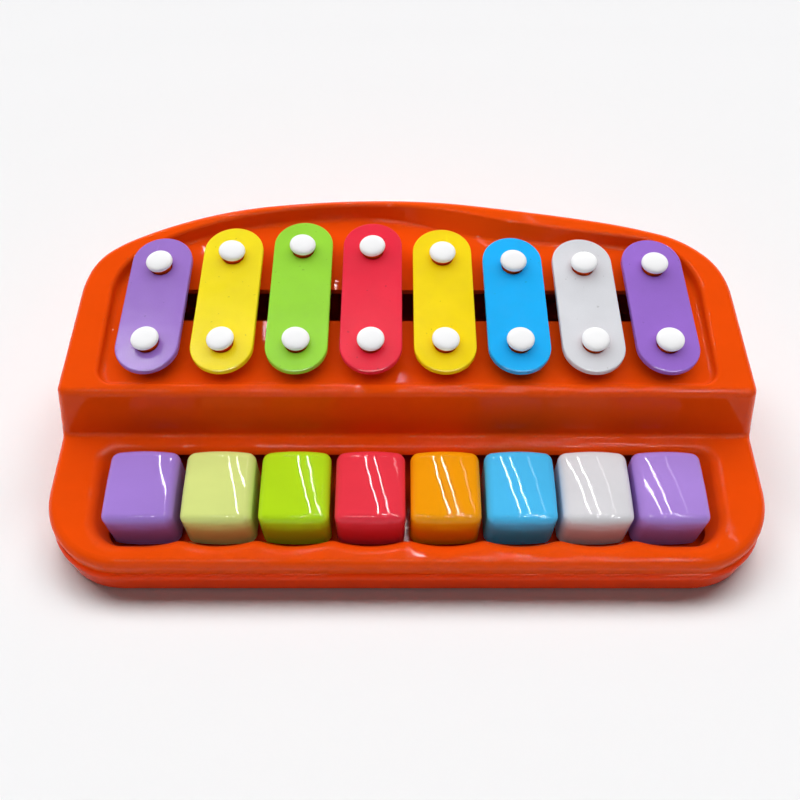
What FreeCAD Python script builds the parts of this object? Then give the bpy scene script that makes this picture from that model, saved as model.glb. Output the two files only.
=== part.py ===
import FreeCAD, Part
import math
import os

from FreeCAD import Vector

# Toy piano with eight key levers that knock eight tone bars from below.
# Millimetres. X runs to the right along the keyboard, Y to the back, Z up, floor at Z = 0.

# Keyboard
key_count = 8
key_pitch = 27.5
key_gap = 1.85
key_side_set = (-1.2, -0.5, 0.0, 0.0, 0.0, 0.0, 0.0, 0.0)
key_depth = 28.0
key_front_height = 27.2
key_slope = 6.7
key_crown_radius = 45.0
key_arch_radius = 150.0
key_skirt_height = 7.6
key_wall = 1.8
key_front_bow = 1.2
key_round = 3.5

# Depths from the front edge to the back, one behind the other
lip_depth = 15.2
key_rear_gap = 0.9
ledge_depth = 12.1
rim_front_width = 3.6
front_pin_inset = 14.6
back_margin = 37.1

# Body outline at the floor, whose back sweeps down to the right
side_margin = 24.2
front_corner_radius = 30.0
side_end_drop = 55.25
shoulder_inset = 29.4
shoulder_drop = 17.2
shoulder_slope = 25.4
crown_x = -9.0
crown_reach = 38.2
crown_fall = 2.6
crown_slope = 8.5
sweep_inset = 54.5
sweep_fall = 11.0
sweep_slope = 11.3
left_corner_inset = 9.0
left_corner_drop = 30.3
left_corner_slope = 45.0
right_corner_inset = 7.8
right_corner_drop = 32.1
right_corner_slope = 50.0

# Moulded walls
wall = 2.2
edge_round = 3.8
base_draft = 1.0
wall_draft = 12.8
housing_front_set = 1.0
tray_height = 11.0
tray_floor = 2.4
tray_rim_step = 0.5
tray_rim_width = 4.4
tray_foot_round = 1.6
tray_rim_round = 2.2
tongue_height = 3.0
tongue_wall = 1.6
tongue_clearance = 0.3

# Upper deck
step_draft = 6.5
rim_stand = 2.12
rim_slope = 8.2
rim_round = 3.2
rim_inner_round = 1.4
deck_height = 46.0
deck_slope = 5.4

# Recess in the deck: its floor edge, and how far its wall leans out up to the rim
recess_side_inset = 19.2
recess_side_run = 0.8
recess_corner_radius = 6.0
recess_round = 1.8
recess_left_inset = 46.2
recess_left_reach = 10.5
recess_left_slope = 22.0
recess_left_run = 1.6
recess_crown_x = -16.0
recess_crown_reach = 22.8
recess_crown_run = 1.9
recess_bend_x = 14.0
recess_bend_reach = 17.1
recess_bend_slope = 14.0
recess_bend_run = 5.7
recess_bend_turn = 7.0
recess_foot_x = 45.0
recess_foot_reach = 11.8
recess_foot_slope = 5.7
recess_foot_run = 5.2
recess_foot_turn = 4.0
recess_right_inset = 42.2
recess_right_reach = 7.6
recess_right_slope = 8.0
recess_right_run = 1.4

# Lower shelf, lip and key well
shelf_height = 21.75
shelf_cove = 1.9
well_side_gap = 2.0
well_side_run = 5.8
well_front_gap = 0.7
well_front_run = 5.2
well_rear_run = 3.7
well_rear_corner = 1.6
well_front_corner = 8.0
well_round = 4.3
scallop_depth = 3.0
scallop_top_depth = 0.85
scallop_peak_radius = 8.0
collar_wall = 3.0
collar_bottom = 11.0

# Tone bars, their posts and caps
pin_spacing = (36.1, 41.5, 44.6, 44.2, 41.1, 36.9, 36.2, 35.9)
bar_width = 23.2
bar_thickness = 2.6
bar_bevel = 0.5
bar_front_overhang = 12.3
bar_rear_overhang = 14.3
bar_lift = 5.2
shoulder_radius = 5.4
post_radius = 3.7
bar_hole_clearance = 0.5
post_stand = 2.1
cap_radius = 4.85
cap_thickness = 2.2
cap_round = 0.9
cap_stem_radius = 1.5
cap_stem_length = 5.0
cap_stem_clearance = 0.05

# Hammer slot in the deck
slot_front_gap = 9.0
slot_width = 15.0
slot_end_margin = 5.0
slot_corner_radius = 3.0

# Pivot rod and its saddles
rod_inset = 8.2
rod_height = 15.5
rod_radius = 1.5
rod_clearance = 0.05
rod_overhang = 2.0
saddle_thickness = 2.4
saddle_depth = 9.0
saddle_gap = 0.6

# Key levers and hammers
lever_width = 12.0
lever_top = 18.6
lever_bottom = 12.6
hub_radius = 4.2
hub_gap = 0.45
hammer_inset = 24.5
hammer_arm_height = 5.6
strike_angle = 5.5
strike_gap = 0.4
hammer_radius = 4.0
hammer_length = 8.2
hammer_dome = 1.8
hammer_seat_radius = 3.4
hammer_peg_radius = 1.8
hammer_peg_length = 4.6
hammer_peg_clearance = 0.05
stop_gap = 0.3

# Return springs under the levers
spring_inset = 5.1
spring_outer_radius = 3.2
spring_wire = 0.7
spring_peg_length = 4.5
spring_peg_clearance = 0.15

# Screws that close the case
screw_front_inset = 29.15
screw_side_drop = 53.75
screw_back_drop = 25.75
screw_side_inset = 16.5
screw_back_x = 55.0
screw_radius = 1.5
screw_clearance = 0.05
screw_length = 12.0
screw_head_radius = 2.9
screw_head_height = 1.9
screw_head_clearance = 0.5
screw_recess_depth = 3.6
boss_radius = 4.2

# Tests of whether a point lies on a face, and whether a turn is worth an arc
touch = 0.01
straight = 1e-6

# Derived sizes
half_width = key_count * key_pitch / 2 + side_margin
key_width = key_pitch - key_gap
base_run = math.tan(math.radians(base_draft))
draft_run = math.tan(math.radians(wall_draft))
deck_rise = math.tan(math.radians(deck_slope))
rim_rise = math.tan(math.radians(rim_slope))
step_run = math.tan(math.radians(step_draft))
key_rise = math.tan(math.radians(key_slope))
front_depth = lip_depth + key_depth + key_rear_gap + ledge_depth + rim_front_width + front_pin_inset
longest_bar = max(pin_spacing) * math.cos(math.radians(deck_slope))
body_depth = front_depth + longest_bar + back_margin
front_y = -body_depth / 2
back_y = body_depth / 2
key_front_y = front_y + lip_depth
key_rear_y = key_front_y + key_depth
well_rear_y = key_rear_y + key_rear_gap
spring_y = well_rear_y + spring_inset
step_y = well_rear_y + ledge_depth
rod_y = step_y + rod_inset
recess_front_y = step_y + rim_front_width
front_pin_y = recess_front_y + front_pin_inset
hammer_y = front_pin_y + hammer_inset
slot_front_y = hammer_y - slot_front_gap
rear_pin_y = front_pin_y + longest_bar
side_end_y = back_y - side_end_drop
rim_front_height = deck_height + (step_y - front_pin_y) * deck_rise + rim_stand
bar_top = bar_lift + bar_thickness
bar_hole_radius = post_radius + bar_hole_clearance
key_x = [(i - (key_count - 1) / 2) * key_pitch for i in range(key_count)]
hub_length = key_pitch - saddle_thickness - 2 * hub_gap
saddle_x = [(i - key_count / 2) * key_pitch for i in range(key_count + 1)]
screw_places = [(side * (half_width - screw_side_inset), y)
                for side in (-1, 1) for y in (front_y + screw_front_inset, back_y - screw_side_drop)]
screw_places += [(side * screw_back_x, back_y - screw_back_drop) for side in (-1, 1)]
right = Vector(1, 0, 0)
up = Vector(0, 0, 1)


def deck_z(y):
    """Height of the recessed deck floor."""
    return deck_height + (y - front_pin_y) * deck_rise


def rim_z(y):
    """Height of the plane through the top of the rim."""
    return rim_front_height + (y - step_y) * rim_rise


def shelf_z(y):
    """Height of the lower shelf round the keys."""
    return shelf_height + (y - well_rear_y) * deck_rise


def step_face_y(z):
    """Front face of the step, which leans back towards the deck."""
    return step_y - (rim_front_height - z) * step_run


def key_top_z(y):
    """Height of a key's top along its middle."""
    return key_front_height + (y - key_front_y) * key_rise


step_foot_y = (step_y - step_run * (rim_front_height - shelf_z(0))) / (1 - deck_rise * step_run)
waist_z = shelf_z(step_y)
clear_above = rim_z(back_y) + bar_top
clear_side = half_width + body_depth


def hammer_tip():
    """Height of a resting hammer that stops short of its bar by the strike gap when the key is down."""
    turn = math.radians(strike_angle)
    reach = hammer_y - rod_y
    bar_under = bar_lift / math.cos(math.radians(deck_slope))
    under = deck_z(rod_y + reach * math.cos(turn)) + bar_under - strike_gap
    lift = under - rod_height - reach * math.sin(turn)
    return rod_height + lift / (math.cos(turn) + deck_rise * math.sin(turn))


hammer_tip_height = hammer_tip()


def heading(degrees):
    """Unit direction in plan."""
    return Vector(math.cos(math.radians(degrees)), math.sin(math.radians(degrees)), 0)


def outward(direction):
    """Outward normal of a counterclockwise outline."""
    return Vector(direction.y, -direction.x, 0)


def turn_between(first, second):
    """Signed angle from one plan direction to another."""
    return math.atan2(first.x * second.y - first.y * second.x, first.dot(second))


def arc_span(start, start_dir, end):
    """One arc that leaves start along start_dir and reaches end, with its normals."""
    chord = end - start
    along = Vector(chord).normalize()
    half_turn = turn_between(start_dir, along)
    middle = (start + end) * 0.5 + outward(along) * (math.tan(half_turn / 2) * chord.Length / 2)
    end_dir = along * (2 * along.dot(start_dir)) - start_dir
    return (start, middle, end), (outward(start_dir), outward(along), outward(end_dir))


def smooth_span(start, start_dir, end, end_dir):
    """A line, an arc or two tangent arcs between two points with given directions."""
    chord = end - start
    if abs(turn_between(start_dir, chord) - turn_between(chord, end_dir)) < straight:
        return [arc_span(start, start_dir, end)]
    reach = chord.dot(start_dir + end_dir)
    spread = 2 * (1 - start_dir.dot(end_dir))
    if spread < straight ** 2:
        tangent = chord.Length ** 2 / (2 * reach)
    else:
        tangent = (math.sqrt(reach ** 2 + spread * chord.Length ** 2) - reach) / spread
    meet = (start + start_dir * tangent + end - end_dir * tangent) * 0.5
    first = arc_span(start, start_dir, meet)
    meet_normal = first[1][2]
    return [first, arc_span(meet, Vector(-meet_normal.y, meet_normal.x, 0), end)]


def smooth_outline(nodes):
    """Closed counterclockwise outline through points, each with its direction in degrees."""
    spans = []
    for (point, angle), (next_point, next_angle) in zip(nodes, nodes[1:] + nodes[:1]):
        start = Vector(*point, 0)
        end = Vector(*next_point, 0)
        spans += smooth_span(start, heading(angle), end, heading(next_angle))
    return spans


def outline_wire(spans, offset, z):
    """The outline grown by offset and lifted to height z."""
    lift = Vector(0, 0, z)
    edges = []
    for points, normals in spans:
        start, middle, end = [p + n * offset + lift for p, n in zip(points, normals)]
        if abs(turn_between(normals[0], normals[2])) < straight:
            edges.append(Part.makeLine(start, end))
        else:
            edges.append(Part.Arc(start, middle, end).toShape())
    return Part.Wire(edges)


def between(low_wire, high_wire):
    """Solid with straight walls between two outlines at two heights."""
    return Part.makeLoft([low_wire, high_wire], True, True)


def prism(spans, offset, low_z, high_z):
    """Upright solid on an outline."""
    face = Part.Face(outline_wire(spans, offset, low_z))
    return face.extrude(up * (high_z - low_z))


def slab(profile, half_length, centre_x=0.0):
    """Side profile of (y, z) points, extruded along X to both sides of centre_x."""
    points = [Vector(centre_x - half_length, y, z) for y, z in profile]
    return Part.Face(Part.makePolygon(points + points[:1])).extrude(right * (2 * half_length))


def box(x_range, y_range, z_range):
    """Box from its three ranges."""
    sizes = [high - low for low, high in (x_range, y_range, z_range)]
    return Part.makeBox(*sizes, Vector(x_range[0], y_range[0], z_range[0]))


def pillar(radius, x, y, low_z, high_z):
    """Upright cylinder."""
    return Part.makeCylinder(radius, high_z - low_z, Vector(x, y, low_z))


def rounded(shape, radius, test):
    """Shape with every edge rounded whose middle point passes the test."""
    chosen = []
    for edge in shape.Edges:
        if test(edge.valueAt((edge.FirstParameter + edge.LastParameter) / 2)):
            chosen.append(edge)
    return shape.makeFillet(radius, chosen)


def on_deck(shape, x):
    """Move a shape from the frame of a front pin onto the sloping deck."""
    shape.rotate(Vector(0, 0, 0), right, deck_slope)
    shape.translate(Vector(x, front_pin_y, deck_height))
    return shape


def joined(shapes):
    """One solid from several that overlap."""
    return shapes[0].multiFuse(shapes[1:]).removeSplitter()


def body_outline(front_set=0.0):
    """Plan outline at the floor: straight front and sides, and a back that sweeps down to the right."""
    corner = front_corner_radius
    front = front_y + front_set
    return smooth_outline([
        ((-half_width + corner, front), 0),
        ((half_width - corner, front), 0),
        ((half_width, front + corner), 90),
        ((half_width, side_end_y), 90),
        ((half_width - right_corner_inset, back_y - right_corner_drop), 180 - right_corner_slope),
        ((half_width - sweep_inset, back_y - sweep_fall), 180 - sweep_slope),
        ((crown_x + crown_reach, back_y - crown_fall), 180 - crown_slope),
        ((crown_x, back_y), 180),
        ((-half_width + shoulder_inset, back_y - shoulder_drop), 180 + shoulder_slope),
        ((-half_width + left_corner_inset, back_y - left_corner_drop), 180 + left_corner_slope),
        ((-half_width, side_end_y), 270),
        ((-half_width, front + corner), 270),
    ])


def recess_outline(level):
    """Outline of the recess: level 0 at its floor, level 1 at the rim, straight between."""
    half = half_width - recess_side_inset + recess_side_run * level
    corner = recess_corner_radius
    front = recess_front_y - recess_side_run * level
    left_y = rear_pin_y + recess_left_reach + recess_left_run * level
    crown_y = rear_pin_y + recess_crown_reach + recess_crown_run * level
    bend_y = rear_pin_y + recess_bend_reach + recess_bend_run * level
    foot_y = rear_pin_y + recess_foot_reach + recess_foot_run * level
    right_y = rear_pin_y + recess_right_reach + recess_right_run * level
    return smooth_outline([
        ((-half + corner, front), 0),
        ((half - corner, front), 0),
        ((half, front + corner), 90),
        ((half, side_end_y), 90),
        ((half_width - recess_right_inset, right_y), 180 - recess_right_slope),
        ((recess_foot_x, foot_y), 180 - recess_foot_slope - recess_foot_turn * level),
        ((recess_bend_x, bend_y), 180 - recess_bend_slope + recess_bend_turn * level),
        ((recess_crown_x, crown_y), 180),
        ((-half_width + recess_left_inset, left_y), 180 + recess_left_slope),
        ((-half, side_end_y), 270),
        ((-half, front + corner), 270),
    ])


def well_outline(level):
    """Outline of the key well, scalloped before each key: level 0 at its foot, level 1 at the shelf."""
    half = key_x[-1] + key_width / 2 + well_side_gap + well_side_run * level
    rear = well_rear_y + well_rear_run * level
    rear_corner = well_rear_corner + well_rear_run * level
    front_corner = well_front_corner + well_front_run * level
    depth = scallop_depth + (scallop_top_depth - scallop_depth) * level
    peak_y = key_front_y - well_front_gap - well_front_run * level
    dip_y = peak_y - depth
    swing = 2 * math.atan(2 * depth / key_pitch)
    turn_x = scallop_peak_radius * math.sin(swing)
    turn_y = peak_y - scallop_peak_radius * (1 - math.cos(swing))
    lean = math.degrees(swing)
    nodes = [((-half, dip_y + front_corner), 270)]
    nodes.append(((-half + front_corner, dip_y), 0))
    for x in key_x[:-1]:
        peak_x = x + key_pitch / 2
        nodes.append(((x, dip_y), 0))
        nodes.append(((peak_x - turn_x, turn_y), lean))
        nodes.append(((peak_x + turn_x, turn_y), -lean))
    nodes += [
        ((key_x[-1], dip_y), 0),
        ((half - front_corner, dip_y), 0),
        ((half, dip_y + front_corner), 90),
        ((half, rear - rear_corner), 90),
        ((half - rear_corner, rear), 180),
        ((-half + rear_corner, rear), 180),
        ((-half, rear - rear_corner), 270),
    ]
    return smooth_outline(nodes)


def body_block(spans, inset):
    """Block on the body outline, set in by inset: upright below the waist, leaning in above it."""
    foot = -tray_rim_step - inset
    middle = foot - (waist_z - tray_height) * base_run
    top = middle - (clear_above - waist_z) * draft_run
    wires = [outline_wire(spans, foot, tray_height), outline_wire(spans, middle, waist_z),
             outline_wire(spans, top, clear_above)]
    return Part.makeLoft(wires, True, True)


def well_tool(grow=0.0):
    """The hollow of the key well, which widens upwards, or that hollow grown all round."""
    top_level = (waist_z - collar_bottom) / (shelf_height - collar_bottom)
    low = outline_wire(well_outline(0), grow, collar_bottom)
    high = outline_wire(well_outline(top_level), grow, waist_z)
    return between(low, high)


def outer_block(spans):
    """The housing as a solid: low shelf, cove, leaning step and sloping rim, rounded outside."""
    profile = [(2 * front_y, 0), (2 * front_y, shelf_z(2 * front_y)), (step_foot_y, shelf_z(step_foot_y)),
               (step_y, rim_front_height), (2 * back_y, rim_z(2 * back_y)), (2 * back_y, 0)]
    side = rounded(slab(profile, clear_side), shelf_cove,
                   lambda p: abs(p.y - step_foot_y) < touch and abs(p.z - shelf_z(p.y)) < touch)
    block = body_block(spans, 0).common(side)
    block = rounded(block, edge_round,
                    lambda p: p.z > shelf_z(p.y) - touch and p.y < step_y - touch
                    and (p.y < key_front_y or abs(p.x) > half_width / 2))
    return rounded(block, rim_round, lambda p: abs(p.z - rim_z(p.y)) < touch)


def recess_tool(grow=0.0):
    """The hollow of the deck between its floor and the rim, or that hollow grown all round."""
    crown_y = rear_pin_y + recess_crown_reach
    floor_z = deck_z(crown_y)
    top_z = rim_z(crown_y + recess_crown_run)
    low_z = deck_z(recess_front_y) - 2 * wall
    per_level = top_z - floor_z
    low = outline_wire(recess_outline((low_z - floor_z) / per_level), grow, low_z)
    high = outline_wire(recess_outline((clear_above - floor_z) / per_level), grow, clear_above)
    profile = [(2 * front_y, deck_z(2 * front_y) - grow), (2 * back_y, deck_z(2 * back_y) - grow),
               (2 * back_y, 2 * clear_above), (2 * front_y, 2 * clear_above)]
    return between(low, high).common(slab(profile, clear_side))


def cavity(spans):
    """The hollow inside the walls, open at the bottom, which rises behind the walls of the recess."""
    inner_step = step_foot_y + wall
    profile = [(2 * front_y, 0), (2 * back_y, 0), (2 * back_y, rim_z(2 * back_y) - wall),
               (step_y + wall, rim_z(step_y + wall) - wall), (inner_step, shelf_z(inner_step) - wall),
               (2 * front_y, shelf_z(2 * front_y) - wall)]
    hollow = body_block(spans, wall).fuse(prism(spans, -tray_rim_step - wall, 0, tray_height))
    return hollow.common(slab(profile, clear_side)).cut(recess_tool(wall))


def well_surround():
    """Space of the wall that hangs from the shelf round the keys; at the back it stops the levers."""
    rear_y = well_rear_y - well_rear_corner
    profile = [(2 * front_y, collar_bottom), (rear_y, collar_bottom), (rear_y, lever_top + stop_gap),
               (back_y, lever_top + stop_gap), (back_y, clear_above), (2 * front_y, clear_above)]
    surround = well_tool(collar_wall)
    corner_x = key_x[-1] + lever_width / 2 + stop_gap
    corners = [box((corner_x, clear_side), (rear_y, back_y), (collar_bottom, clear_above)),
               box((-clear_side, -corner_x), (rear_y, back_y), (collar_bottom, clear_above))]
    return surround.common(slab(profile, clear_side).multiFuse(corners))


def bar_posts():
    """Shouldered posts that carry the bars, two for each, in the frame of the deck."""
    posts = []
    for x, spacing in zip(key_x, pin_spacing):
        for along in (0, spacing):
            shoulder = pillar(shoulder_radius, 0, along, -wall, bar_lift)
            spigot = pillar(post_radius, 0, along, 0, bar_top + post_stand)
            socket = pillar(cap_stem_radius + cap_stem_clearance, 0, along,
                            bar_top + post_stand - cap_stem_length - cap_stem_clearance, clear_above)
            posts.append(on_deck(shoulder.fuse(spigot).cut(socket), x))
    return posts


def rod_saddle(x, low_z, high_z, bearing_z):
    """Cross rib whose notch holds one side of the rod."""
    y_range = (rod_y - saddle_depth / 2, rod_y + saddle_depth / 2)
    rib = box((x - saddle_thickness / 2, x + saddle_thickness / 2), y_range, (low_z, high_z))
    bore = Part.makeCylinder(rod_radius + rod_clearance, saddle_thickness,
                             Vector(x - saddle_thickness / 2, rod_y, bearing_z), right)
    return rib.cut(bore)


def upper_housing(spans):
    """Top moulding: walls, deck with its recess and slot, shelf and lip, and everything under them."""
    shell = outer_block(spans).cut(well_tool())
    well_half = key_x[-1] + key_width / 2 + well_side_gap + well_side_run + collar_wall
    well_front = key_front_y - well_front_gap - well_front_run - scallop_depth
    ledge_middle = (well_rear_y + well_rear_run + step_foot_y) / 2
    shell = rounded(shell, well_round,
                    lambda p: abs(p.z - shelf_z(p.y)) < touch and abs(p.x) < well_half
                    and well_front < p.y < ledge_middle)
    recess = rounded(recess_tool(), recess_round, lambda p: abs(p.z - deck_z(p.y)) < touch)
    shell = shell.cut(recess)
    shell = rounded(shell, rim_inner_round,
                    lambda p: abs(p.z - rim_z(p.y)) < touch and p.y > step_y + rim_round + touch
                    and abs(p.x) < half_width - recess_side_inset + wall)
    hollow = cavity(spans).cut(well_surround())
    shell = shell.cut(hollow)
    inside = []
    for x in saddle_x[::2]:
        saddle = rod_saddle(x, rod_height + saddle_gap / 2, clear_above, rod_height)
        inside.append(saddle.common(hollow))
    for x, y in screw_places:
        inside.append(pillar(boss_radius, x, y, tray_height, clear_above).common(hollow))
    shell = joined([shell] + inside + bar_posts())
    slot_half = key_x[-1] + slot_end_margin
    slot = box((-slot_half, slot_half), (slot_front_y, slot_front_y + slot_width), (rod_height, clear_above))
    slot_middle = (rod_height + clear_above) / 2
    shell = shell.cut(rounded(slot, slot_corner_radius, lambda p: abs(p.z - slot_middle) < touch))
    for x, y in screw_places:
        shell = shell.cut(pillar(screw_radius + screw_clearance, x, y, 0, screw_recess_depth + screw_length))
    return shell


def base_tray(spans, housing_spans):
    """Bottom moulding: floor with rim and tongue, rod saddles, spring pegs and screw wells."""
    rim_top = outline_wire(spans, 0, tray_height)
    tray = between(outline_wire(spans, 0, 0), rim_top)
    tray = rounded(tray, tray_foot_round, lambda p: abs(p.z) < touch)
    tray = rounded(tray, tray_rim_round, lambda p: abs(p.z - tray_height) < touch)
    tray = tray.cut(prism(spans, -tray_rim_width, tray_floor, clear_above))
    tongue_offset = -tray_rim_step - wall - tongue_clearance
    lean = tongue_height * base_run
    outer = between(outline_wire(housing_spans, tongue_offset, tray_height),
                    outline_wire(housing_spans, tongue_offset - lean, tray_height + tongue_height))
    outer = prism(housing_spans, tongue_offset, tray_floor, tray_height).fuse(outer)
    inner = prism(housing_spans, tongue_offset - lean - tongue_wall, 0, clear_above)
    pieces = [tray, outer.cut(inner)]
    for x in saddle_x:
        pieces.append(rod_saddle(x, tray_floor / 2, rod_height - saddle_gap / 2, rod_height))
    peg_radius = spring_outer_radius - spring_wire - spring_peg_clearance
    for x in key_x:
        pieces.append(pillar(peg_radius, x, spring_y, tray_floor / 2, tray_floor + spring_peg_length))
    for x, y in screw_places:
        well_radius = screw_head_radius + screw_head_clearance
        pieces.append(pillar(well_radius + wall, x, y, tray_floor / 2, tray_height))
    tray = joined(pieces)
    for x, y in screw_places:
        tray = tray.cut(pillar(well_radius, x, y, 0, screw_recess_depth))
        tray = tray.cut(pillar(screw_radius + screw_clearance, x, y, 0, clear_above))
    return tray


def pillow(x):
    """Solid under the top of a key, which is arched along the key and crowned across it."""
    middle_y = (key_front_y + key_rear_y) / 2
    top = Vector(x, middle_y, key_top_z(middle_y))
    drop = key_crown_radius - math.sqrt(key_crown_radius ** 2 - key_width ** 2)
    ends = [top + Vector(side * key_width, 0, -drop) for side in (-1, 1)]
    feet = [end - up * key_front_height for end in ends]
    crown = Part.Arc(ends[0], top, ends[1]).toShape()
    sides = Part.makePolygon([ends[1], feet[1], feet[0], ends[0]])
    section = Part.Face(Part.Wire([crown] + sides.Edges))
    axis_point = top - up * key_arch_radius
    span = math.degrees(2 * key_depth / key_arch_radius)
    section.rotate(axis_point, right, -span / 2)
    solid = section.revolve(axis_point, right, span)
    solid.rotate(top, right, key_slope)
    return solid


def key_lever(x, side_set):
    """One key: hollow cap with a pillowed top, and its lever over the rod, from which the cap is set off."""
    half = key_width / 2
    cap_x = x + side_set
    nose = Vector(cap_x, key_front_y - key_front_bow / 2, key_skirt_height)
    corners = [nose + Vector(side * half, key_front_bow, 0) for side in (-1, 1)]
    front = Part.Arc(corners[0], nose, corners[1])
    rear = Vector(0, key_depth - key_front_bow / 2, 0)
    sides = Part.makePolygon([corners[1], corners[1] + rear, corners[0] + rear, corners[0]])
    plan = Part.Face(Part.Wire([front.toShape()] + sides.Edges))
    cap = plan.extrude(up * key_front_height).common(pillow(cap_x))
    cap = rounded(cap, key_round, lambda p: p.z > key_skirt_height + touch)
    sag = (half ** 2) / (2 * key_crown_radius) + (key_depth ** 2) / (8 * key_arch_radius)
    inner_top = key_top_z(key_front_y) - key_wall - sag
    hollow = slab([(key_front_y + key_wall, 0), (key_rear_y - key_wall, 0),
                   (key_rear_y - key_wall, inner_top + (key_depth - key_wall) * key_rise),
                   (key_front_y + key_wall, inner_top + key_wall * key_rise)], half - key_wall, cap_x)
    cap = cap.cut(hollow)
    hub = Part.makeCylinder(hub_radius, hub_length, Vector(x - hub_length / 2, rod_y, rod_height), right)
    arm = box((x - lever_width / 2, x + lever_width / 2), (key_rear_y - key_wall, rod_y),
              (lever_bottom, lever_top))
    seat_z = hammer_tip_height - hammer_length
    hammer_arm = slab([(rod_y, rod_height - hub_radius), (rod_y + hub_radius, rod_height - hub_radius),
                       (hammer_y + hammer_seat_radius, seat_z - hammer_arm_height),
                       (hammer_y + hammer_seat_radius, seat_z), (hammer_y - hammer_seat_radius, seat_z),
                       (rod_y, rod_height + hub_radius)], lever_width / 4, x)
    peg = pillar(hammer_peg_radius, x, hammer_y, seat_z - hammer_arm_height / 2, seat_z + hammer_peg_length)
    lever = joined([cap, hub, arm, hammer_arm, peg])
    bore = Part.makeCylinder(rod_radius + rod_clearance, key_pitch,
                             Vector(x - key_pitch / 2, rod_y, rod_height), right)
    return lever.cut(bore)


def hammer_head(x):
    """Domed striker pushed onto the lever's peg."""
    seat_z = hammer_tip_height - hammer_length
    head = pillar(hammer_radius, x, hammer_y, seat_z, hammer_tip_height)
    head = rounded(head, hammer_dome, lambda p: abs(p.z - hammer_tip_height) < touch)
    socket = pillar(hammer_peg_radius + hammer_peg_clearance, x, hammer_y, seat_z,
                    seat_z + hammer_peg_length + hammer_peg_clearance)
    return head.cut(socket)


def key_spring(x):
    """Envelope of the return spring between the tray and the lever, bored for the tray's peg."""
    outer = pillar(spring_outer_radius, x, spring_y, tray_floor, lever_bottom)
    return outer.cut(pillar(spring_outer_radius - spring_wire, x, spring_y, tray_floor, lever_bottom))


def tone_bar(x, spacing):
    """Flat bar with round ends, two holes and a bevelled upper edge."""
    radius = bar_width / 2
    front = radius - bar_front_overhang
    rear = spacing + bar_rear_overhang - radius
    outline = smooth_outline([((radius, front), 90), ((radius, rear), 90), ((0, rear + radius), 180),
                              ((-radius, rear), 270), ((-radius, front), 270), ((0, front - radius), 0)])
    bar = prism(outline, 0, bar_lift, bar_top)
    upper = [e for e in bar.Edges if abs(e.CenterOfMass.z - bar_top) < touch]
    bar = bar.makeChamfer(bar_bevel, upper)
    for along in (0, spacing):
        bar = bar.cut(pillar(bar_hole_radius, 0, along, 0, clear_above))
    return on_deck(bar, x)


def bar_caps():
    """All the push-in caps that keep the bars on their posts."""
    caps = []
    base = bar_top + post_stand
    for x, spacing in zip(key_x, pin_spacing):
        for along in (0, spacing):
            head = pillar(cap_radius, 0, along, base, base + cap_thickness)
            head = rounded(head, cap_round, lambda p: abs(p.z - base - cap_thickness) < touch)
            stem = pillar(cap_stem_radius, 0, along, base - cap_stem_length, base)
            caps.append(on_deck(head.fuse(stem), x))
    return Part.makeCompound(caps)


def pivot_rod():
    """Steel rod through all the levers."""
    half = saddle_x[-1] + saddle_thickness / 2 + rod_overhang
    return Part.makeCylinder(rod_radius, 2 * half, Vector(-half, rod_y, rod_height), right)


def base_screws():
    """All the screws that hold the tray to the bosses of the housing."""
    screws = []
    for x, y in screw_places:
        head = pillar(screw_head_radius, x, y, screw_recess_depth - screw_head_height, screw_recess_depth)
        shank = pillar(screw_radius, x, y, screw_recess_depth, screw_recess_depth + screw_length)
        screws.append(head.fuse(shank).removeSplitter())
    return Part.makeCompound(screws)


def save(name, shape):
    """Write one node."""
    shape.exportStep(os.path.join("parts", name + ".step"))


os.makedirs("parts", exist_ok=True)
tray_body = body_outline()
housing_body = body_outline(housing_front_set)
save("upper_housing", upper_housing(housing_body))
save("base_tray", base_tray(tray_body, housing_body))
for number, (x, side_set, spacing) in enumerate(zip(key_x, key_side_set, pin_spacing), 1):
    save(f"key_{number}", key_lever(x, side_set))
    save(f"hammer_head_{number}", hammer_head(x))
    save(f"key_spring_{number}", key_spring(x))
    save(f"tone_bar_{number}", tone_bar(x, spacing))
save("bar_caps", bar_caps())
save("pivot_rod", pivot_rod())
save("base_screws", base_screws())
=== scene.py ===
import math

import bmesh
import bpy
from mathutils import Matrix, Vector


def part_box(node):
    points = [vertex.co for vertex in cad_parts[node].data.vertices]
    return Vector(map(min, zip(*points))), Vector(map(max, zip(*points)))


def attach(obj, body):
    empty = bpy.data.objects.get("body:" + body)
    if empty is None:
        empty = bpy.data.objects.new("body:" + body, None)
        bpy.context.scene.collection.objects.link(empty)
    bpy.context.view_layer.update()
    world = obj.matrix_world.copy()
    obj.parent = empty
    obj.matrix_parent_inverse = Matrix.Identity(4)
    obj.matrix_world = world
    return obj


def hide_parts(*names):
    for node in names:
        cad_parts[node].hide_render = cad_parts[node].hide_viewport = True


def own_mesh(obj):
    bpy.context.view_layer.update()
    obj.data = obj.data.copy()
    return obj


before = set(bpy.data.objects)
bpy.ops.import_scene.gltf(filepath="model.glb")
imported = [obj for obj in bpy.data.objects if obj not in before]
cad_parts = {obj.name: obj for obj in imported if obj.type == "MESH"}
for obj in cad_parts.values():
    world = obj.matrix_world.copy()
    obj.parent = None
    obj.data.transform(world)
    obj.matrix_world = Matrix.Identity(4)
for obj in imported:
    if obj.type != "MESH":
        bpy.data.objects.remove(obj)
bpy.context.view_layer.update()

# Toy piano. Metres, in the frame of the CAD model: X along the keyboard, Y to the back, floor at Z = 0.
MM = 0.001
KEYS = range(1, 9)

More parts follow.
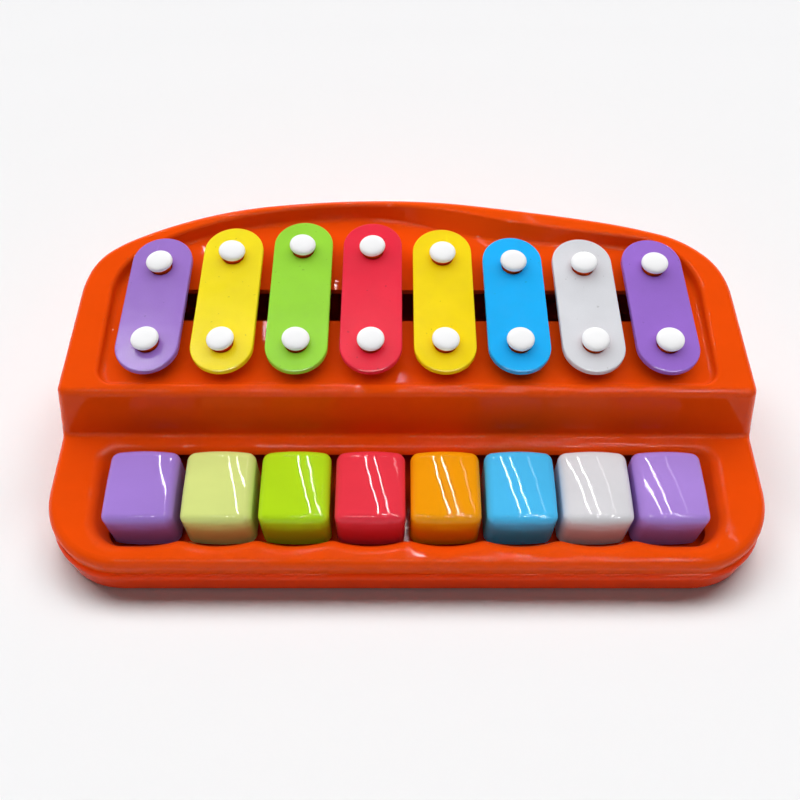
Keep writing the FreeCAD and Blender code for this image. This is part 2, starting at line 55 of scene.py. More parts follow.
# Colours of the mouldings, the paint and the metal, as they show on a screen
HOUSING_RED = (243, 79, 9)
# The tray is moulded from the housing's red; its deeper red is painted shade, the look of that plastic low
# down in shadow
TRAY_SHADED_RED = (240, 64, 9)
CAP_WHITE = (247, 247, 248)
STEEL_GREY = (176, 178, 182)
RUBBER_GREY = (70, 66, 64)
KEY_COLOURS = {1: (171, 133, 222), 2: (224, 236, 140), 3: (189, 232, 32), 4: (244, 60, 76),
               5: (253, 161, 12), 6: (80, 197, 253), 7: (228, 227, 231), 8: (180, 142, 229)}
BAR_COLOURS = {1: (156, 116, 202), 2: (246, 224, 26), 3: (154, 219, 60), 4: (238, 44, 68),
               5: (248, 217, 10), 6: (26, 178, 250), 7: (216, 217, 222), 8: (154, 108, 207)}
FLOOR_WHITE = (249, 249, 250)

# Deck that carries the bars, and the bars, posts and caps on it
KEY_PITCH = 27.5 * MM
DECK_SLOPE = math.radians(5.4)
FRONT_PIN_Y = -3.551 * MM
DECK_HEIGHT = 46.0 * MM
PIN_SPACING = (36.1, 41.5, 44.6, 44.2, 41.1, 36.9, 36.2, 35.9)
BAR_WIDTH = 23.2 * MM
BAR_FRONT = 12.3 * MM
BAR_REAR = 14.3 * MM
BAR_LIFT = 5.2 * MM
BAR_THICKNESS = 2.6 * MM
BAR_HOLE = 4.2 * MM
BAR_EDGE = 0.55 * MM
POST_STAND = 2.1 * MM

# Caps, lengths in millimetres: head, height of its widest ring, fullness of its dome, the stem in the post,
# and how far they sit askew, in radians
CAP_RADIUS = 5.1
CAP_HEIGHT = 2.2
CAP_SHOULDER = 0.5
CAP_FULLNESS = 0.62
CAP_STEM_RADIUS = 1.5
CAP_STEM_LENGTH = 4.9
CAP_LOOSE_TURN = 0.02

# Springs: their wire and turns, and how far the coils at the ends still rise, as a share of an even rise
SPRING_WIRE = 0.35 * MM
SPRING_TURNS = 8.0
SPRING_CLOSED = 0.28

# Screws, lengths in millimetres: head, ridged shank, cross recess, the places that the node's box doesn't
# give, and how far they sit askew, in radians
SCREW_HEAD_RADIUS = 2.9
SCREW_RADIUS = 1.5
SCREW_ROOT = 1.2
SCREW_RIDGES = 9
SCREW_RIDGE_PITCH = 1.15
RECESS_LENGTH = 3.4
RECESS_WIDTH = 0.8
RECESS_DEPTH = 1.4
RECESS_LEVEL = 2.0
SIDE_SCREW_FROM_BACK = 28.0
BACK_SCREW_X = 55.0
SCREW_LOOSE_TURN = 0.004

# How strongly each plastic reflects, how rough it is, and the depth of the sinks that bend its reflections
CASE_SHINE = 0.09
PLASTIC_SHINE = 0.17
PLASTIC_ROUGHNESS = 0.02
CAP_ROUGHNESS = 0.12
PLASTIC_SINK = 0.16 * MM
KEY_SINK = 0.2 * MM
CAP_SINK = 0.05 * MM

# Soft light: the direction, width in degrees and strength of the ceiling, and of each window behind the toy
CEILING = (-0.1, 0.74, 0.97)
CEILING_SPREAD = 125
CEILING_STRENGTH = 4.04
WINDOWS = (((-0.55, 0.56, 0.9), 1.08), ((0.0, 0.56, 0.9), 1.47), ((0.5, 0.56, 0.9), 1.08))
WINDOW_SPREAD = 24

# Tubes overhead, as X at Y = 0 and brightness. For each metre to the back they slant so far to the left.
TUBES = ((0.196, 90), (0.407, 90), (0.853, 13))
TUBE_HEIGHT = 1.322
TUBE_SLANT = 0.66
TUBE_FRONT = -1.6
TUBE_BACK = 2.0
TUBE_WIDTH = 0.023
GLINT_WIDTH = 0.008

# Lamps that the bars show, as the X of both ends and brightness. Their line runs further back to the right.
BAR_LAMPS = ((-0.66, -0.5, 110), (-0.5, 0.03, 9))
BAR_LAMP_WIDTH = 0.03
BAR_LAMP_Y = 0.71
BAR_LAMP_SLANT = 0.15

# Strips across the front, one for all gloss and one for the edges of the bars, as Y, Z, width and brightness
STRIP_ENDS = (-0.6, 0.7)
FRONT_STRIP = (-0.6, 1.0, 0.02, 110)
EDGE_STRIP = (-0.8, 0.7, 0.08, 420)

# Greys at two heights of the sky: the light of the room, and the backdrop that is seen
ROOM_GREYS = ((0.0, 0.26), (0.5, 0.06))
BACKDROP_GREYS = ((0.24, 0.92), (0.42, 0.06))
FLOOR_HALF = 3.0

# Camera: its place, how far it looks down and round, its tilt, and its focal length in sensor widths
CAMERA_PLACE = Vector((-4.764, -191.988, 281.419)) * MM
CAMERA_DOWN = math.radians(54.568)
CAMERA_YAW = math.radians(0.610)
CAMERA_ROLL = math.radians(0.586)
SENSOR_WIDTH = 36.0
FOCAL_SHARE = 797.83 / 800


def linear(colour):
    """Scene colour of an 8-bit display colour."""
    channels = [c / 255 for c in colour]
    scene = [c / 12.92 if c <= 0.04045 else ((c + 0.055) / 1.055) ** 2.4 for c in channels]
    return (*scene, 1.0)


def shade(colour, share):
    """Display colour made darker or lighter."""
    return tuple(min(255, c * share) for c in colour)


class Finish:
    """A material whose colour, roughness and relief are worked out from object coordinates."""

    def __init__(self, name):
        self.material = bpy.data.materials.new(name)
        self.material.use_nodes = True
        self.tree = self.material.node_tree
        self.surface = self.tree.nodes["Principled BSDF"]
        self.place = self.node("ShaderNodeTexCoord").outputs["Object"]
        self.relief = None

    def node(self, kind, **settings):
        node = self.tree.nodes.new(kind)
        for key, value in settings.items():
            setattr(node, key, value)
        return node

    def link(self, output, socket):
        self.tree.links.new(output, socket)

    def set(self, **values):
        """Plain values on the shader's own sockets."""
        for name, value in values.items():
            self.surface.inputs[name.replace("_", " ")].default_value = value

    def noise(self, scale, detail=2.0, stretch=(1, 1, 1), turn=(0, 0, 0)):
        """Noise of so many lumps a metre."""
        mapping = self.node("ShaderNodeMapping")
        mapping.inputs["Scale"].default_value = stretch
        mapping.inputs["Rotation"].default_value = turn
        self.link(self.place, mapping.inputs["Vector"])
        noise = self.node("ShaderNodeTexNoise")
        noise.inputs["Scale"].default_value = scale
        noise.inputs["Detail"].default_value = detail
        self.link(mapping.outputs["Vector"], noise.inputs["Vector"])
        return noise.outputs["Fac"]

    def span(self, value, start, end, low, high):
        """Value from start to end, spread from low to high."""
        node = self.node("ShaderNodeMapRange")
        for socket, number in zip(node.inputs[1:5], (start, end, low, high)):
            socket.default_value = number
        self.link(value, node.inputs["Value"])
        return node.outputs["Result"]

    def added(self, value, share, base):
        """Value times share, on top of another value."""
        node = self.node("ShaderNodeMath", operation="MULTIPLY_ADD")
        self.link(value, node.inputs[0])
        node.inputs[1].default_value = share
        self.link(base, node.inputs[2])
        return node.outputs[0]

    def mixed(self, share, first, second):
        """Colour between two, each a display colour or an output."""
        node = self.node("ShaderNodeMix", data_type="RGBA")
        for socket, colour in ((node.inputs[6], first), (node.inputs[7], second)):
            if isinstance(colour, tuple):
                socket.default_value = linear(colour)
            else:
                self.link(colour, socket)
        self.link(share, node.inputs["Factor"])
        return node.outputs[2]

    def bump(self, height, depth):
        """Adds relief of so many metres to what is there."""
        node = self.node("ShaderNodeBump")
        node.inputs["Strength"].default_value = 1.0
        node.inputs["Distance"].default_value = depth
        self.link(height, node.inputs["Height"])
        if self.relief:
            self.link(self.relief, node.inputs["Normal"])
        self.relief = node.outputs["Normal"]

    def scratches(self, scale, lean, rarity=0.68):
        """Sparse fine lines along one direction, 1 on a line."""
        line = self.noise(scale, 3.0, (1, 0.02, 1), (0, 0, lean))
        return self.span(line, rarity, rarity + 0.05, 0.0, 1.0)

    def done(self, colour, roughness):
        """The material, with its colour, roughness and relief joined on."""
        self.link(colour, self.surface.inputs["Base Color"])
        self.link(roughness, self.surface.inputs["Roughness"])
        if self.relief:
            self.link(self.relief, self.surface.inputs["Normal"])
        return self.material


def moulded_plastic(name, colour, sink=PLASTIC_SINK, rough=PLASTIC_ROUGHNESS, shine=PLASTIC_SHINE):
    """Shiny moulded plastic: shallow sinks that bend its reflections, flow marks, smudges and hairlines."""
    finish = Finish(name)
    flow = finish.noise(30, 3.0, (1, 2.2, 1))
    body = finish.mixed(finish.span(flow, 0.3, 0.7, 0, 1), shade(colour, 0.98), shade(colour, 1.012))
    hairs = finish.scratches(420, 0.4)
    smudge = finish.span(finish.noise(70, 4.0), 0.4, 0.75, rough, rough + 0.04)
    finish.bump(finish.noise(48, 1.0), sink)
    finish.bump(finish.noise(230, 1.0), sink * 0.2)
    finish.bump(finish.noise(2600, 2.0), 0.0006 * MM)
    finish.set(IOR=1.5, Specular_IOR_Level=shine)
    return finish.done(body, finish.added(hairs, 0.05, smudge))


def bar_paint(name, colour):
    """Baked paint on metal: orange peel, fine grain, hairline scratches and a few dust specks."""
    finish = Finish(name)
    cloud = finish.noise(60, 3.0)
    grain = finish.noise(2300, 2.0)
    speck = finish.noise(520, 1.0)
    body = finish.mixed(finish.span(cloud, 0.3, 0.7, 0, 1), shade(colour, 0.972), shade(colour, 1.015))
    body = finish.mixed(finish.span(grain, 0.6, 0.8, 0, 0.22), body, shade(colour, 1.12))
    body = finish.mixed(finish.span(speck, 0.755, 0.775, 0, 0.4), body, shade(colour, 0.7))
    hairs = finish.scratches(300, 0.12, 0.72)
    body = finish.mixed(finish.span(hairs, 0, 1, 0, 0.3), body, shade(colour, 1.16))
    rough = finish.span(finish.noise(260, 4.0), 0.3, 0.7, 0.12, 0.2)
    finish.bump(finish.noise(1300, 1.5), 0.02 * MM)
    finish.bump(grain, 0.014 * MM)
    finish.set(IOR=1.5, Specular_IOR_Level=0.22)
    return finish.done(body, rough)


def steel(name, colour, lean=(1, 1, 1)):
    """Drawn steel with lines along the draw."""
    finish = Finish(name)
    lines = finish.noise(900, 4.0, lean)
    body = finish.mixed(lines, shade(colour, 0.82), shade(colour, 1.08))
    finish.bump(lines, 0.01 * MM)
    finish.set(Metallic=1.0)
    return finish.done(body, finish.span(lines, 0.3, 0.7, 0.22, 0.42))


def rubber(name, colour):
    """Dull soft rubber of the hammer heads."""
    finish = Finish(name)
    grain = finish.noise(1200, 4.0)
    body = finish.mixed(grain, shade(colour, 0.85), shade(colour, 1.15))
    finish.bump(grain, 0.03 * MM)
    return finish.done(body, finish.span(grain, 0.3, 0.7, 0.55, 0.75))


def placed(name, content):
    """A new object in the scene."""
    piece = bpy.data.objects.new(name, content)
    bpy.context.collection.objects.link(piece)
    return piece


def solid(name, shape):
    """A new object from a bmesh, which is used up."""
    mesh = bpy.data.meshes.new(name)
    shape.to_mesh(mesh)
    shape.free()
    return placed(name, mesh)


def apply_modifiers(piece):
    """Makes the result of a piece's modifiers its own mesh."""
    view = bpy.context.evaluated_depsgraph_get()
    mesh = bpy.data.meshes.new_from_object(piece.evaluated_get(view), depsgraph=view)
    piece.modifiers.clear()
    piece.data = mesh


def axes_at(place, side, up, back):
    """World matrix of an object at a place, with its three axes along these."""
    return Matrix.Translation(place) @ Matrix((side, up, back)).transposed().to_4x4()


class Recipe:
    """A Geometry Nodes tree with named sizes, whose result becomes a plain mesh."""

    def __init__(self, name):
        self.tree = bpy.data.node_groups.new(name, "GeometryNodeTree")
        self.tree.interface.new_socket("Geometry", in_out="OUTPUT", socket_type="NodeSocketGeometry")
        self.given = self.tree.nodes.new("NodeGroupInput")
        self.result = self.tree.nodes.new("NodeGroupOutput")
        self.sockets = {}

    def size(self, name, kind="Float"):
        """A named input of the tree."""
        socket = self.tree.interface.new_socket(name, in_out="INPUT", socket_type="NodeSocket" + kind)
        self.sockets[name] = socket.identifier
        return self.given.outputs[name]

    def node(self, kind, inputs=None, **settings):
        """A node with its inputs set or linked, by name or number."""
        node = self.tree.nodes.new(kind)
        for key, value in settings.items():
            setattr(node, key, value)
        for key, value in (inputs or {}).items():
            if isinstance(value, bpy.types.NodeSocket):
                self.tree.links.new(value, node.inputs[key])
            elif isinstance(value, list):
                for output in value:
                    self.tree.links.new(output, node.inputs[key])
            else:
                node.inputs[key].default_value = value
        return node

    def maths(self, operation, first, second):
        return self.node("ShaderNodeMath", {0: first, 1: second}, operation=operation).outputs[0]

    def vector(self, x=0.0, y=0.0, z=0.0):
        return self.node("ShaderNodeCombineXYZ", {0: x, 1: y, 2: z}).outputs[0]

    def end(self, geometry):
        """Realized geometry in the given material."""
        real = self.node("GeometryNodeRealizeInstances", {"Geometry": geometry})
        coated = self.node("GeometryNodeSetMaterial", {"Geometry": real.outputs[0],
                                                       "Material": self.size("Material", "Material")})
        self.tree.links.new(coated.outputs[0], self.result.inputs[0])

    def make(self, name, sizes, bevel=0.0):
        """A new object with the tree's result as its own mesh."""
        piece = placed(name, bpy.data.meshes.new(name))
        modifier = piece.modifiers.new("recipe", "NODES")
        modifier.node_group = self.tree
        for key, value in sizes.items():
            modifier[self.sockets[key]] = value
        if bevel:
            rounding = piece.modifiers.new("rounding", "BEVEL")
            rounding.width = bevel
            rounding.segments = 4
            rounding.limit_method = "ANGLE"
            rounding.angle_limit = math.radians(50)
            rounding.harden_normals = True
        apply_modifiers(piece)
        return piece


def tone_bar_recipe():
    """Flat bar with round ends and a hole over each post, from its front post along Y."""
    recipe = Recipe("tone_bar")
    width = recipe.size("Width")
    front = recipe.size("Front Overhang")
    rear = recipe.size("Rear Overhang")
    spacing = recipe.size("Post Spacing")
    thickness = recipe.size("Thickness")
    hole = recipe.size("Hole Radius")
    length = recipe.maths("ADD", recipe.maths("ADD", front, rear), spacing)
    sheet = recipe.node("GeometryNodeCurvePrimitiveQuadrilateral", {"Width": width, "Height": length})
    # A hair under half the width, so that the two corners of an end stay apart
    end_radius = recipe.maths("MULTIPLY", width, 0.4999)
    ends = recipe.node("GeometryNodeFilletCurve", {"Curve": sheet.outputs[0], "Radius": end_radius,
                                                   "Count": 18, "Limit Radius": True}, mode="POLY")
    middle = recipe.maths("SUBTRACT", recipe.maths("MULTIPLY", length, 0.5), front)
    outline = recipe.node("GeometryNodeTransform", {"Geometry": ends.outputs[0],
                                                    "Translation": recipe.vector(y=middle)})
    ring = recipe.node("GeometryNodeCurvePrimitiveCircle", {"Resolution": 40, "Radius": hole})
    rear_ring = recipe.node("GeometryNodeTransform", {"Geometry": ring.outputs[0],
                                                      "Translation": recipe.vector(y=spacing)})
    lines = [part.outputs[0] for part in (outline, ring, rear_ring)]
    curves = recipe.node("GeometryNodeJoinGeometry", {0: lines})
    flat = recipe.node("GeometryNodeFillCurve", {"Curve": curves.outputs[0]}, mode="NGONS")
    raised = recipe.node("GeometryNodeExtrudeMesh", {"Mesh": flat.outputs[0], "Offset Scale": thickness,
                                                     "Individual": False})
    under = recipe.node("GeometryNodeFlipFaces", {"Mesh": flat.outputs[0]})
    both = recipe.node("GeometryNodeJoinGeometry", {0: [raised.outputs[0], under.outputs[0]]})
    closed = recipe.node("GeometryNodeMergeByDistance", {"Geometry": both.outputs[0], "Distance": 0.01 * MM})
    smooth = recipe.node("GeometryNodeSetShadeSmooth", {"Geometry": closed.outputs[0]})
    recipe.end(smooth.outputs[0])
    return recipe


def scatter_recipe(pattern):
    """Copies of one small piece at given places."""
    recipe = Recipe("copies_of_" + pattern.name)
    spots = recipe.node("GeometryNodeObjectInfo", {"Object": recipe.size("Places", "Object")})
    lean = recipe.size("Lean")
    jitter = recipe.size("Loose Turn")
    shape = recipe.node("GeometryNodeObjectInfo", {"Object": recipe.size("Pattern", "Object"),
                                                   "As Instance": True})
    loose = recipe.node("FunctionNodeRandomValue", {"Seed": 7}, data_type="FLOAT_VECTOR")
    for limit, furthest in enumerate(((-1.0, -1.0, -60.0), (1.0, 1.0, 60.0))):
        reach = recipe.node("ShaderNodeVectorMath", {0: furthest, "Scale": jitter}, operation="SCALE")
        recipe.tree.links.new(reach.outputs[0], loose.inputs[limit])
    turn = recipe.node("ShaderNodeVectorMath", {0: recipe.vector(x=lean), 1: loose.outputs[0]},
                       operation="ADD")
    instances = recipe.node("GeometryNodeInstanceOnPoints", {"Points": spots.outputs["Geometry"],
                                                             "Instance": shape.outputs["Geometry"],
                                                             "Rotation": turn.outputs[0]})
    recipe.end(instances.outputs[0])
    return recipe


def spring_recipe():
    """Coil of round wire with closed ends, upright on its lower end."""
    recipe = Recipe("coil_spring")
    radius = recipe.size("Coil Radius")
    wire = recipe.size("Wire Radius")
    height = recipe.size("Height")
    coil = recipe.node("GeometryNodeCurveSpiral", {"Resolution": 28, "Rotations": SPRING_TURNS, "Height": 1.0,
                                                   "Start Radius": radius, "End Radius": radius})
    along = recipe.node("GeometryNodeSplineParameter").outputs["Factor"]
    rise = recipe.node("ShaderNodeMapRange", {"Value": along, "From Min": 0.1, "From Max": 0.9,
                                              "To Min": 0.0, "To Max": 1.0},
                       interpolation_type="SMOOTHSTEP").outputs[0]
    closed_ends = recipe.maths("MULTIPLY", along, SPRING_CLOSED)
    share = recipe.maths("ADD", recipe.maths("MULTIPLY", rise, 1 - SPRING_CLOSED), closed_ends)
    clear = recipe.maths("SUBTRACT", height, recipe.maths("MULTIPLY", wire, 2.0))
    level = recipe.maths("ADD", recipe.maths("MULTIPLY", share, clear), wire)
    place = recipe.node("ShaderNodeSeparateXYZ", {0: recipe.node("GeometryNodeInputPosition").outputs[0]})
    spot = recipe.vector(place.outputs[0], place.outputs[1], level)
    line = recipe.node("GeometryNodeSetPosition", {"Geometry": coil.outputs[0], "Position": spot})
    section = recipe.node("GeometryNodeCurvePrimitiveCircle", {"Resolution": 8, "Radius": wire})
    tube = recipe.node("GeometryNodeCurveToMesh", {"Curve": line.outputs[0], "Fill Caps": True,
                                                   "Profile Curve": section.outputs[0]})
    smooth = recipe.node("GeometryNodeSetShadeSmooth", {"Geometry": tube.outputs[0]})
    recipe.end(smooth.outputs[0])
    return recipe


def turned(name, profile, steps):
    """Piece turned about Z from (radius, height) points in millimetres, from its foot to its top."""
    shape = bmesh.new()
    angles = [2 * math.pi * i / steps for i in range(steps)]
    rings = []
    for radius, height in profile:
        if radius == 0:
            rings.append([shape.verts.new((0, 0, height * MM))])
            continue
        rings.append([shape.verts.new((radius * MM * math.cos(a), radius * MM * math.sin(a), height * MM))
                      for a in angles])
    for low, high in zip(rings, rings[1:]):
        for i in range(steps):
            corners = [low[i % len(low)], low[(i + 1) % len(low)],
                       high[(i + 1) % len(high)], high[i % len(high)]]
            shape.faces.new(list(dict.fromkeys(corners)))
    bmesh.ops.recalc_face_normals(shape, faces=shape.faces)
    for face in shape.faces:
        face.smooth = True
    return solid(name, shape)


def points_object(name, places):
    """Loose points that copies go on."""
    mesh = bpy.data.meshes.new(name)
    mesh.from_pydata([tuple(p) for p in places], [], [])
    return placed(name, mesh)


def on_deck(key, along, height):
    """Place on the sloping deck, from a key's front post."""
    x = (key - 4.5) * KEY_PITCH
    tilt = Matrix.Rotation(DECK_SLOPE, 3, "X")
    return Vector((x, FRONT_PIN_Y, DECK_HEIGHT)) + tilt @ Vector((0, along, height))


def copies(name, pattern, places, material, lean=0.0, jitter=0.0):
    """One plain mesh of copies of a small piece, which is then taken away."""
    points = points_object(name + "_places", places)
    recipe = scatter_recipe(pattern)
    piece = recipe.make(name, {"Places": points, "Pattern": pattern, "Lean": lean, "Loose Turn": jitter,
                               "Material": material})
    for helper in (points, pattern):
        bpy.data.objects.remove(helper)
    return piece


def make_bars():
    """Painted bars with softly rounded edges."""
    recipe = tone_bar_recipe()
    tilt = Matrix.Rotation(DECK_SLOPE, 4, "X")
    bars = []
    for n in KEYS:
        piece = recipe.make(f"bar_{n}", {
            "Width": BAR_WIDTH, "Front Overhang": BAR_FRONT, "Rear Overhang": BAR_REAR,
            "Post Spacing": PIN_SPACING[n - 1] * MM, "Thickness": BAR_THICKNESS, "Hole Radius": BAR_HOLE,
            "Material": bar_paint(f"bar_paint_{n}", BAR_COLOURS[n])}, bevel=BAR_EDGE)
        piece.data.transform(Matrix.Translation(on_deck(n, 0, BAR_LIFT)) @ tilt)
        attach(piece, "case")
        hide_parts(f"tone_bar_{n}")
        bars.append(piece)
    return bars


def make_caps():
    """White caps with a soft shoulder and a slightly domed top, on stems in the posts."""
    turns = [math.radians(a) for a in (0, 12, 24, 36, 46, 56, 65, 73, 80, 85)]
    crown = CAP_HEIGHT - CAP_SHOULDER
    dome = [(CAP_RADIUS * math.cos(a) ** CAP_FULLNESS, CAP_SHOULDER + crown * math.sin(a) ** CAP_FULLNESS)
            for a in turns]
    stem = [(0, -CAP_STEM_LENGTH), (CAP_STEM_RADIUS - 0.1, -CAP_STEM_LENGTH),
            (CAP_STEM_RADIUS, 0.2 - CAP_STEM_LENGTH), (CAP_STEM_RADIUS, 0)]
    rim = [(CAP_RADIUS - 0.4, 0), (CAP_RADIUS - 0.1, 0.14)]
    pattern = turned("cap_pattern", [*stem, *rim, *dome, (0, CAP_HEIGHT)], 48)
    stand = BAR_LIFT + BAR_THICKNESS + POST_STAND
    places = [on_deck(n, along * MM, stand) for n in KEYS for along in (0, PIN_SPACING[n - 1])]
    plastic = moulded_plastic("cap_plastic", CAP_WHITE, CAP_SINK, CAP_ROUGHNESS)
    piece = copies("caps", pattern, places, plastic, DECK_SLOPE, CAP_LOOSE_TURN)
    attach(piece, "case")
    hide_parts("bar_caps")


def make_springs():
    """Return springs, one for each key."""
    recipe = spring_recipe()
    for n in KEYS:
        low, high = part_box(f"key_spring_{n}")
        foot = Vector(((low[0] + high[0]) / 2, (low[1] + high[1]) / 2, low[2]))
        piece = recipe.make(f"spring_{n}", {
            "Coil Radius": (high[0] - low[0]) / 2 - SPRING_WIRE, "Wire Radius": SPRING_WIRE,
            "Height": high[2] - low[2], "Material": steel(f"spring_wire_{n}", STEEL_GREY)})
        piece.data.transform(Matrix.Translation(foot))
        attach(piece, "case")
        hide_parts(f"key_spring_{n}")
        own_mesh(piece)


def screw_pattern():
    """Pan-head screw with its head down, a ridged shank and a cross recess."""
    head = [(0, 1.7), (1.6, 1.74), (2.4, 2.0), (2.8, 2.5),
            (SCREW_HEAD_RADIUS, 3.0), (SCREW_HEAD_RADIUS, 3.6)]
    neck = [(SCREW_RADIUS, 3.6), (SCREW_RADIUS, 4.0)]
    starts = [SCREW_RIDGE_PITCH * i for i in range(SCREW_RIDGES)]
    ridges = [point for start in starts
              for point in ((SCREW_ROOT, 4.3 + start), (SCREW_RADIUS, 4.9 + start))]
    tip = [(SCREW_ROOT, 14.8), (0.5, 15.6), (0, 15.6)]
    screw = turned("screw_pattern", [*head, *neck, *ridges, *tip], 24)
    level = Matrix.Translation((0, 0, RECESS_LEVEL * MM))
    for across in ((RECESS_LENGTH, RECESS_WIDTH), (RECESS_WIDTH, RECESS_LENGTH)):
        block = bmesh.new()
        bmesh.ops.create_cube(block, size=MM, matrix=level @ Matrix.Diagonal((*across, RECESS_DEPTH, 1)))
        recess = solid("recess", block)
        hollow = screw.modifiers.new("recess", "BOOLEAN")
        hollow.object = recess
        hollow.solver = "EXACT"
        apply_modifiers(screw)
        bpy.data.objects.remove(recess)
    screw.data.set_sharp_from_angle(angle=math.radians(35))
    return screw


def make_screws():
    """Screws in their wells under the tray."""
    low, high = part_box("base_screws")
    head = SCREW_HEAD_RADIUS * MM
    side, front, back = high[0] - head, low[1] + head, high[1] - head
    spots = ((side, front), (side, back - SIDE_SCREW_FROM_BACK * MM), (BACK_SCREW_X * MM, back))
    places = [(x * way, y, 0) for x, y in spots for way in (-1, 1)]
    pattern = screw_pattern()
    piece = copies("screws", pattern, places, steel("screw_steel", STEEL_GREY), jitter=SCREW_LOOSE_TURN)
    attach(piece, "case")
    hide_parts("base_screws")


def paint_node(name, material):
    """Gives a CAD node its finish."""
    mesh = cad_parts[name].data
    mesh.materials.clear()
    mesh.materials.append(material)


def strip_light(name, start, end, width, brightness):
    """Narrow lamp between two places, facing down, which shows as a line in shiny surfaces."""
    run = Vector(end) - Vector(start)
    lamp = bpy.data.lights.new(name, "AREA")
    lamp.shape = "RECTANGLE"
    lamp.size = run.length
    lamp.size_y = width
    lamp.energy = brightness * math.pi * width * run.length
    light = placed(name, lamp)
    back = Vector((0, 0, 1))
    up = back.cross(run).normalized()
    light.matrix_world = axes_at((Vector(start) + Vector(end)) / 2, up.cross(back), up, back)
    light.visible_camera = False
    light.visible_diffuse = False
    return light


def cross_strip(name, y, z, width, brightness):
    """Narrow lamp across the front of the toy."""
    return strip_light(name, *[(x, y, z) for x in STRIP_ENDS], width, brightness)


def light_share(light, pieces, state):
    """Keeps a light to some pieces, or off them."""
    group = bpy.data.collections.new(light.name + "_share")
    for piece in pieces:
        group.objects.link(piece)
    for member in group.collection_objects:
        member.light_linking.link_state = state
    light.light_linking.receiver_collection = group


def soft_sun(name, towards, spread, strength):
    """Even soft light from one direction, which shiny surfaces don't show."""
    lamp = bpy.data.lights.new(name, "SUN")
    lamp.angle = math.radians(spread)
    lamp.energy = strength
    light = placed(name, lamp)
    light.rotation_euler = Vector(towards).to_track_quat("Z", "Y").to_euler()
    light.visible_glossy = False
    return light


def make_lights(floor, cases, keys, bars):
    """Soft light from behind for the floor and from above for the toy, and the lamps that the gloss shows."""
    for number, (towards, strength) in enumerate(WINDOWS, 1):
        window = soft_sun(f"window_{number}", towards, WINDOW_SPREAD, strength)
        light_share(window, [floor], "INCLUDE")
    ceiling = soft_sun("ceiling", CEILING, CEILING_SPREAD, CEILING_STRENGTH)
    light_share(ceiling, [floor], "EXCLUDE")
    for number, (x, brightness) in enumerate(TUBES, 1):
        ends = [(x - TUBE_SLANT * y, y, TUBE_HEIGHT) for y in (TUBE_FRONT, TUBE_BACK)]
        light_share(strip_light(f"tube_{number}", *ends, TUBE_WIDTH, brightness), keys, "INCLUDE")
        light_share(strip_light(f"glint_{number}", *ends, GLINT_WIDTH, brightness), cases, "INCLUDE")
    cross_strip("front_strip", *FRONT_STRIP)
    light_share(cross_strip("edge_strip", *EDGE_STRIP), bars, "INCLUDE")
    for number, (start, end, brightness) in enumerate(BAR_LAMPS, 1):
        ends = [(x, BAR_LAMP_Y + BAR_LAMP_SLANT * x, TUBE_HEIGHT) for x in (start, end)]
        light_share(strip_light(f"lamp_{number}", *ends, BAR_LAMP_WIDTH, brightness), bars, "INCLUDE")


def make_camera():
    """The camera of the photograph."""
    out = math.cos(CAMERA_DOWN)
    ahead = Vector((math.sin(CAMERA_YAW) * out, math.cos(CAMERA_YAW) * out, -math.sin(CAMERA_DOWN)))
    level = Vector((math.cos(CAMERA_YAW), -math.sin(CAMERA_YAW), 0))
    rise = level.cross(ahead)
    side = level * math.cos(CAMERA_ROLL) + rise * math.sin(CAMERA_ROLL)
    up = rise * math.cos(CAMERA_ROLL) - level * math.sin(CAMERA_ROLL)
    lens = bpy.data.cameras.new("camera")
    lens.sensor_width = SENSOR_WIDTH
    lens.lens = SENSOR_WIDTH * FOCAL_SHARE
    lens.clip_start = 0.01
    camera = placed("camera", lens)
    camera.matrix_world = axes_at(CAMERA_PLACE, side, up, -ahead)
    bpy.context.scene.camera = camera


def make_floor():
    """Pale floor under the toy."""
    mesh = bpy.data.meshes.new("floor")
    corners = [(FLOOR_HALF * x, FLOOR_HALF * y, 0) for x, y in ((-1, -1), (1, -1), (1, 1), (-1, 1))]
    mesh.from_pydata(corners, [], [(0, 1, 2, 3)])
    floor = placed("floor", mesh)
    finish = Finish("floor_paper")
    cloud = finish.noise(3, 2.0)
    finish.set(Specular_IOR_Level=0.2)
    body = finish.mixed(cloud, FLOOR_WHITE, shade(FLOOR_WHITE, 0.995))
    mesh.materials.append(finish.done(body, finish.span(cloud, 0.3, 0.7, 0.7, 0.8)))
    return floor


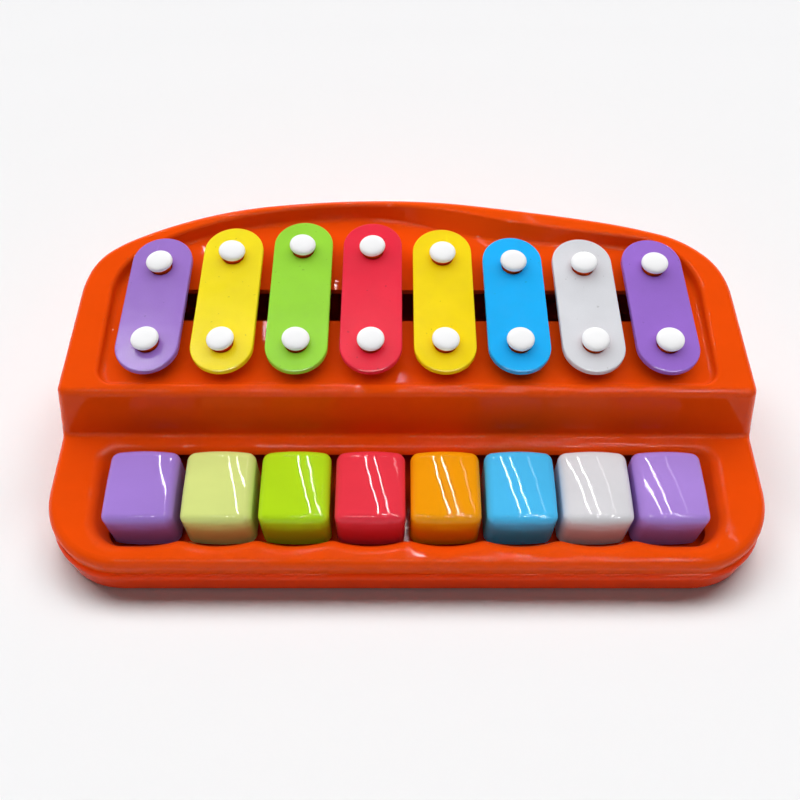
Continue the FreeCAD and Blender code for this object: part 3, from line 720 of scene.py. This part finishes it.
def make_world():
    """Dim room, and the pale backdrop below its ceiling that the camera and shiny surfaces see."""
    world = bpy.data.worlds.new("room")
    bpy.context.scene.world = world
    world.use_nodes = True
    tree = world.node_tree
    place = tree.nodes.new("ShaderNodeTexCoord")
    split = tree.nodes.new("ShaderNodeSeparateXYZ")
    tree.links.new(place.outputs["Generated"], split.inputs[0])
    shades = []
    for stops in (ROOM_GREYS, BACKDROP_GREYS):
        ramp = tree.nodes.new("ShaderNodeValToRGB")
        for element, (height, grey) in zip(ramp.color_ramp.elements, stops):
            element.position = height
            element.color = (grey, grey, grey, 1)
        tree.links.new(split.outputs["Z"], ramp.inputs[0])
        shades.append(ramp.outputs["Color"])
    ray = tree.nodes.new("ShaderNodeLightPath")
    seen = ray.outputs["Is Camera Ray"]
    for kind in ("Is Glossy Ray", "Is Transmission Ray"):
        either = tree.nodes.new("ShaderNodeMath")
        either.operation = "MAXIMUM"
        tree.links.new(seen, either.inputs[0])
        tree.links.new(ray.outputs[kind], either.inputs[1])
        seen = either.outputs[0]
    mix = tree.nodes.new("ShaderNodeMix")
    mix.data_type = "RGBA"
    tree.links.new(seen, mix.inputs["Factor"])
    tree.links.new(shades[0], mix.inputs[6])
    tree.links.new(shades[1], mix.inputs[7])
    tree.links.new(mix.outputs[2], tree.nodes["Background"].inputs["Color"])
    tree.nodes["Background"].inputs["Strength"].default_value = 1.0


make_world()
floor = make_floor()
make_camera()
bpy.context.scene.view_settings.view_transform = "Standard"

paint_node("upper_housing", moulded_plastic("housing_plastic", HOUSING_RED, shine=CASE_SHINE))
# The tray's finish is the housing plastic with painted shade in its colour
paint_node("base_tray", moulded_plastic("tray_plastic", TRAY_SHADED_RED, shine=CASE_SHINE))
for n in KEYS:
    paint_node(f"key_{n}", moulded_plastic(f"key_plastic_{n}", KEY_COLOURS[n], KEY_SINK))
    paint_node(f"hammer_head_{n}", rubber(f"hammer_rubber_{n}", RUBBER_GREY))
paint_node("pivot_rod", steel("rod_steel", STEEL_GREY, (0.02, 1, 1)))
bars = make_bars()
make_caps()
make_springs()
make_screws()
cases = [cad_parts[name] for name in ("upper_housing", "base_tray")]
keys = [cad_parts[f"key_{n}"] for n in KEYS]
make_lights(floor, cases, keys, bars)
